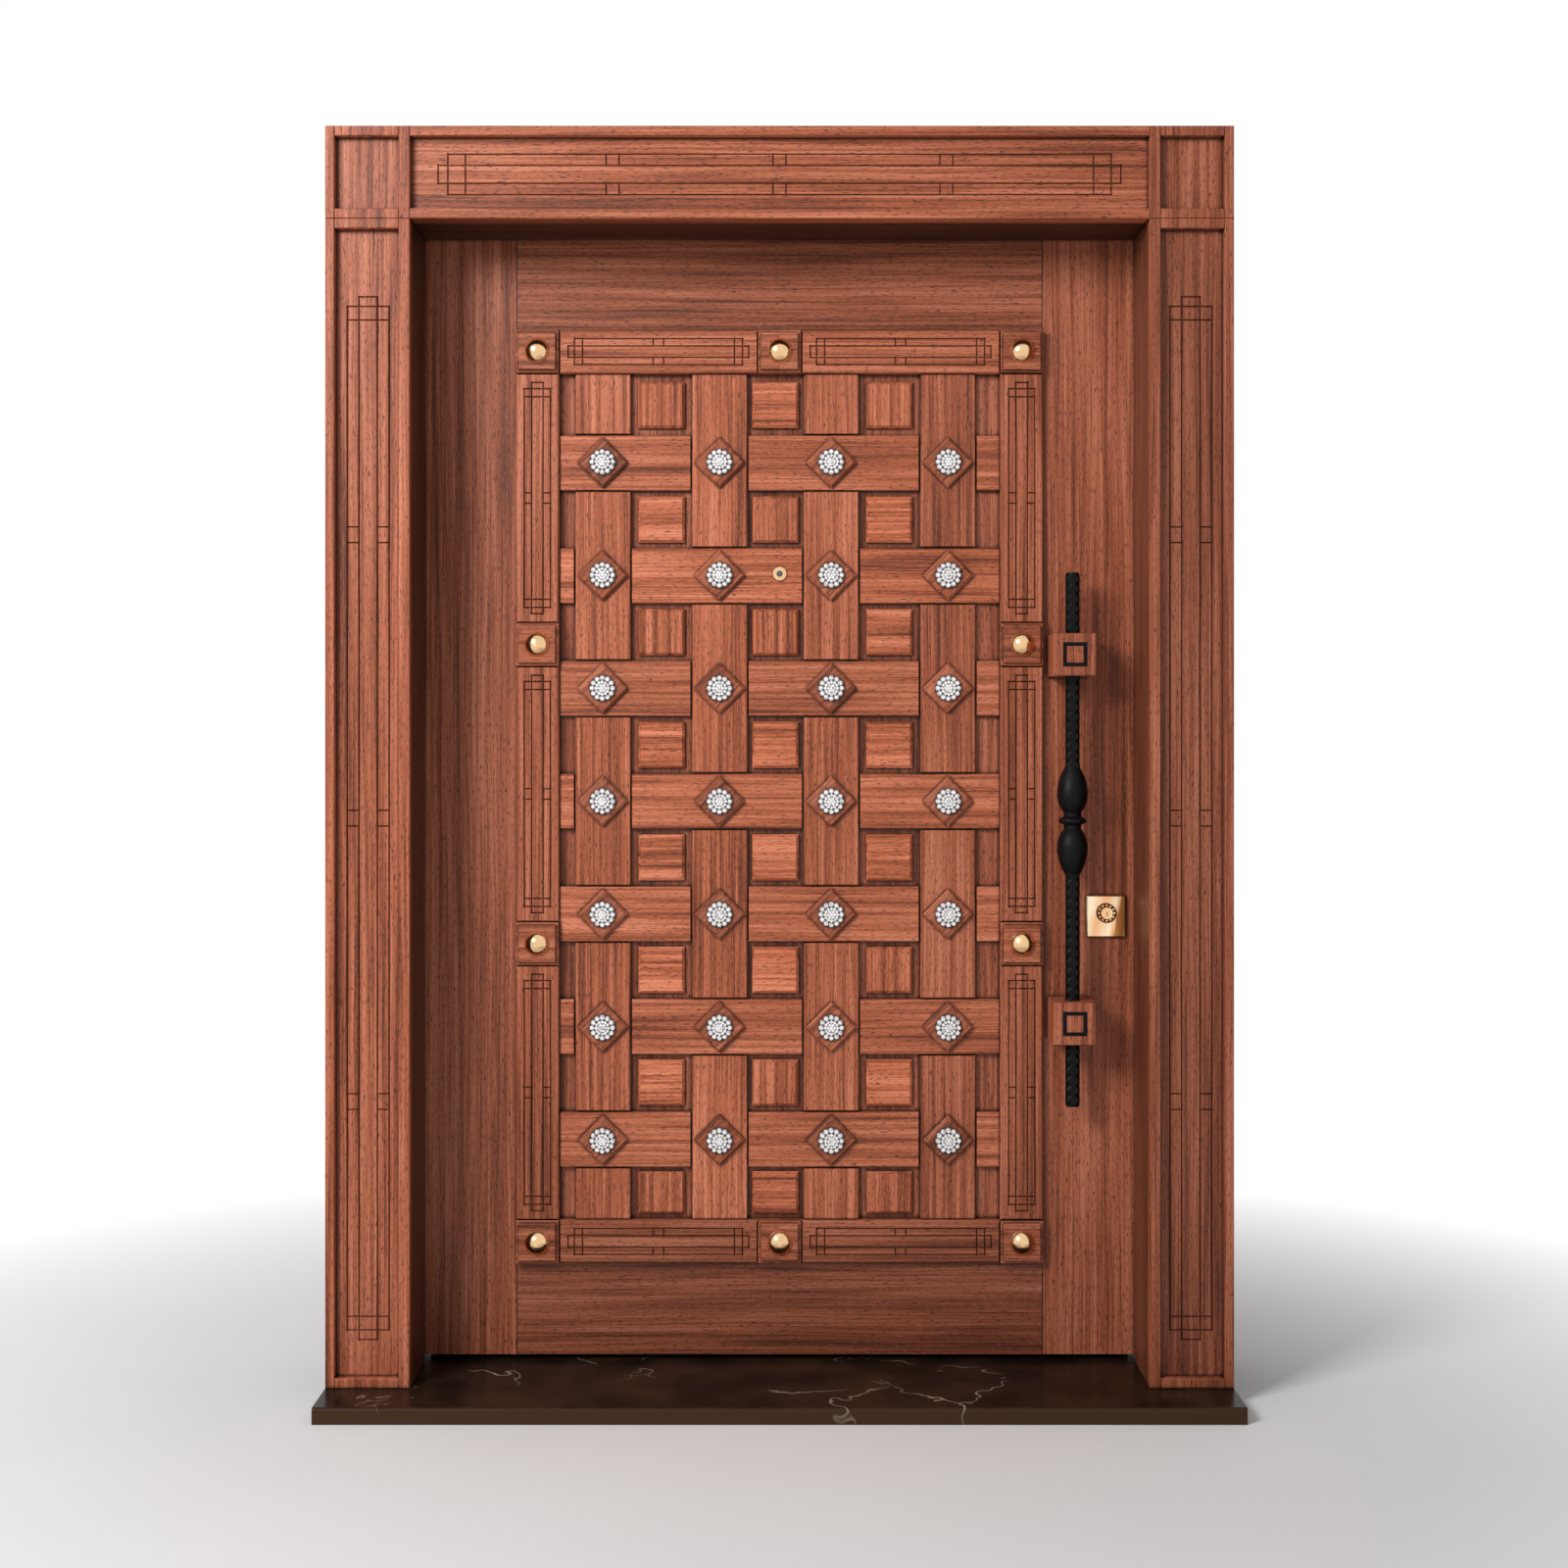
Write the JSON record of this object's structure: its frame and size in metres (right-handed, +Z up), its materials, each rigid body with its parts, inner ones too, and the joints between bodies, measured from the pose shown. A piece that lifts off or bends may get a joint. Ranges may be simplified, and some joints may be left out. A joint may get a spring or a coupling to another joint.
{
  "type": "steel door",
  "caption": "Steel entrance door clad in wood-grain boards, with a woven panel, crystal rosettes, an iron pull bar, lock, hinges, steel frame, outer casing and stone threshold.",
  "frame": {"origin": "middle of the threshold's underside, in the plane of the outer wall face", "axes": "+Z up the door, +X to the right seen from the street, -Y towards the street"},
  "size_m": [1.67, 0.432, 2.35],
  "materials": {
    "stone_threshold": "polished",
    "wood_casing": "satin",
    "wood_lining": "satin",
    "wood_leaf": "satin",
    "wood_moulding": "satin",
    "wood_weave": "satin",
    "steel_frame": "satin",
    "steel_sheet": "satin",
    "steel_hardware": "satin",
    "steel_chrome": "polished",
    "brass_polished": "polished",
    "black_iron": "satin",
    "black_inlay": "satin",
    "rubber_seal": "matte",
    "mineral_wool": "matte",
    "crystal": "polished",
    "lens_glass": "polished"
  },
  "bodies": {
    "frame": {"threshold": "stone_threshold", "hinge_jamb": "steel_frame", "lock_jamb": "steel_frame", "head_jamb": "steel_frame", "lining_left": "wood_lining", "lining_right": "wood_lining", "lining_head": "wood_lining", "pilaster_panels": "wood_casing", "corner_panels": "wood_casing", "casing_strips": "wood_casing", "header_panel": "wood_casing", "header_strips": "wood_casing", "inner_casings": "wood_casing", "frame_gaskets": "rubber_seal", "hinge_frame_halves": "steel_hardware", "hinge_pins": "steel_hardware", "hinge_washers": "brass_polished", "strike_plate": "steel_hardware", "keeper_pin": "steel_hardware"},
    "keeper": {"latch_keeper": "steel_hardware"},
    "lever": {"lever_handle": "brass_polished", "lock_follower": "steel_hardware"},
    "latch": {"latch_bolt": "steel_chrome"},
    "deadbolts": {"deadbolts": "steel_chrome"},
    "thumbturn": {"thumbturn": "brass_polished"},
    "plug": {"cylinder_plug": "brass_polished"},
    "viewer_cover": {"viewer_cover": "brass_polished"},
    "leaf": {"hinge_leaf_halves": "steel_hardware", "leaf_outer_skin": "steel_sheet", "leaf_inner_skin": "steel_sheet", "leaf_ribs": "steel_sheet", "leaf_core": "mineral_wool", "inner_board": "wood_leaf", "bottom_seal": "rubber_seal", "stile_boards": "wood_leaf", "rail_boards": "wood_leaf", "field_board": "wood_leaf", "side_mouldings": "wood_moulding", "rail_mouldings": "wood_moulding", "stud_blocks": "wood_moulding", "brass_studs": "brass_polished", "weave_columns": "wood_weave", "weave_rows": "wood_weave", "square_blocks": "wood_weave", "diamond_blocks": "wood_weave", "rosette_cups": "steel_chrome", "rosette_crystals": "crystal", "pull_bar": "black_iron", "pull_blocks": "wood_moulding", "pull_inlays": "black_inlay", "cylinder_escutcheon": "brass_polished", "lock_case": "steel_hardware", "lock_faceplate": "steel_hardware", "lock_cylinder": "brass_polished", "lever_plate": "brass_polished", "lever_spring": "steel_hardware", "viewer_barrel": "brass_polished", "viewer_lens": "lens_glass", "pull_bolts": "steel_hardware"}
  },
  "joints": [
    {"name": "leaf_swing", "type": "hinge", "parent": "frame", "child": "leaf", "pos_m": [-0.697, 0.238, 0], "axis": [0, 0, 1], "range_deg": [0, 100]},
    {"name": "keeper_swing", "type": "hinge", "parent": "frame", "child": "keeper", "pos_m": [0.726, 0.2, 0.974], "axis": [0, 0, 1], "range_deg": [0, 90]},
    {"name": "lever_turn", "type": "hinge", "parent": "leaf", "child": "lever", "pos_m": [0.627, 0.24, 0.974], "axis": [0, -1, 0], "range_deg": [0, 35], "stiffness_Nm_per_rad": 1, "springref_deg": -34.38},
    {"name": "latch_slide", "type": "slide", "parent": "leaf", "child": "latch", "axis": [1, 0, 0], "range_m": [-0.012, 0]},
    {"name": "thumbturn_turn", "type": "hinge", "parent": "leaf", "child": "thumbturn", "pos_m": [0.627, 0.24, 0.889], "axis": [0, 1, 0], "range_deg": [0, 720]},
    {"name": "deadbolt_slide", "type": "slide", "parent": "leaf", "child": "deadbolts", "axis": [1, 0, 0], "range_m": [0, 0.03]},
    {"name": "plug_turn", "type": "hinge", "parent": "leaf", "child": "plug", "pos_m": [0.627, 0.15, 0.889], "axis": [0, 1, 0], "range_deg": [0, 720]},
    {"name": "viewer_cover_swing", "type": "hinge", "parent": "leaf", "child": "viewer_cover", "pos_m": [0, 0.232, 1.557], "axis": [0, 1, 0], "range_deg": [-90, 90]}
  ],
  "couplings": [
    {"joint": "latch_slide", "follows": "lever_turn", "m_per_rad": -0.019644},
    {"joint": "thumbturn_turn", "follows": "deadbolt_slide", "rad_per_m": 418.88}
  ]
}
